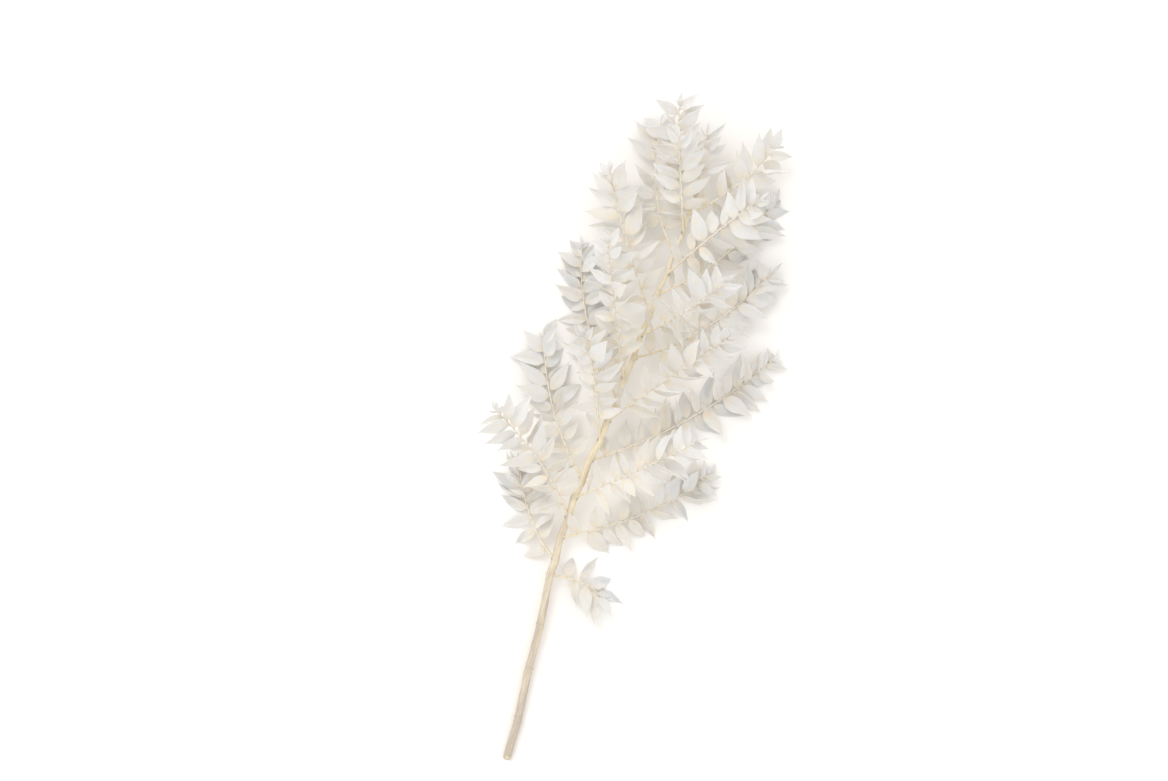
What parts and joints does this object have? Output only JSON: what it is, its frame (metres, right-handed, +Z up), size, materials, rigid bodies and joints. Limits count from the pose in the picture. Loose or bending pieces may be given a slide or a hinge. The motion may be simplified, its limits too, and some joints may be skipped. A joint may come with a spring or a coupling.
{
  "type": "dried ruscus stem",
  "caption": "Cut stem of dried, bleached ruscus with alternate pointed leaves on side sprays, lying on a flat surface; for dried flower displays.",
  "frame": {"origin": "on the surface that the stem lies on, under the middle of its bounding box", "axes": "+Z up; +Y along the stem from its cut end to its growing tip; +X to the right of the stem, seen from above with the tip ahead"},
  "size_m": [0.2764, 0.6873, 0.1028],
  "materials": {
    "bark": "matt, dry and bleached, with fine lengthwise grain, cream above and greyish beige near the cut",
    "leaf": "matt, papery and slightly translucent, bleached off-white with faint lengthwise veins"
  },
  "bodies": {
    "root": {"main_stem": "bark", "spray_01": "leaf", "spray_02": "leaf", "spray_03": "leaf", "spray_04": "leaf", "spray_05": "leaf", "spray_06": "leaf", "spray_07": "leaf", "spray_08": "leaf", "spray_09": "leaf", "spray_10": "leaf", "spray_11": "leaf", "spray_12": "leaf", "spray_13": "leaf", "spray_14": "leaf", "spray_15": "leaf", "spray_16": "leaf", "spray_17": "leaf", "spray_18": "leaf", "spray_19": "leaf", "spray_20": "leaf"}
  },
  "joints": []
}
